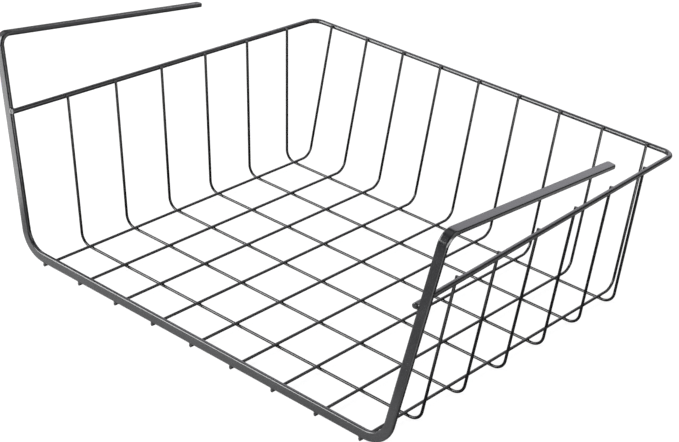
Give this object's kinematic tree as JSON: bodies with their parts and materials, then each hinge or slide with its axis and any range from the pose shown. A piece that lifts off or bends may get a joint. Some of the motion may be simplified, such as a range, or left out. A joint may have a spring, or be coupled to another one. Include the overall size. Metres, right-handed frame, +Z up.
{
  "type": "under shelf basket",
  "caption": "Open-front wire basket with a grid floor and flared wire walls under a round rim, carried by a bent flat-strip frame whose arms slide over a shelf board.",
  "frame": {"origin": "middle of the footprint, on the plane that the lowest wires rest on", "axes": "+X across the basket to its right side, +Y from the open front to the back wall, +Z up to the arms"},
  "size_m": [0.429, 0.3276, 0.1782],
  "materials": {
    "black_coated_steel": "very dark grey baked coating, semi-gloss, slightly uneven over the welds"
  },
  "bodies": {
    "root": {"hanger_frame": "black_coated_steel", "rim_wire": "black_coated_steel", "front_to_back_wire_1": "black_coated_steel", "front_to_back_wire_2": "black_coated_steel", "front_to_back_wire_3": "black_coated_steel", "front_to_back_wire_4": "black_coated_steel", "front_to_back_wire_5": "black_coated_steel", "front_to_back_wire_6": "black_coated_steel", "front_to_back_wire_7": "black_coated_steel", "front_to_back_wire_8": "black_coated_steel", "front_to_back_wire_9": "black_coated_steel", "cross_wire_1": "black_coated_steel", "cross_wire_2": "black_coated_steel", "cross_wire_3": "black_coated_steel", "cross_wire_4": "black_coated_steel", "cross_wire_5": "black_coated_steel", "cross_wire_6": "black_coated_steel"}
  },
  "joints": []
}
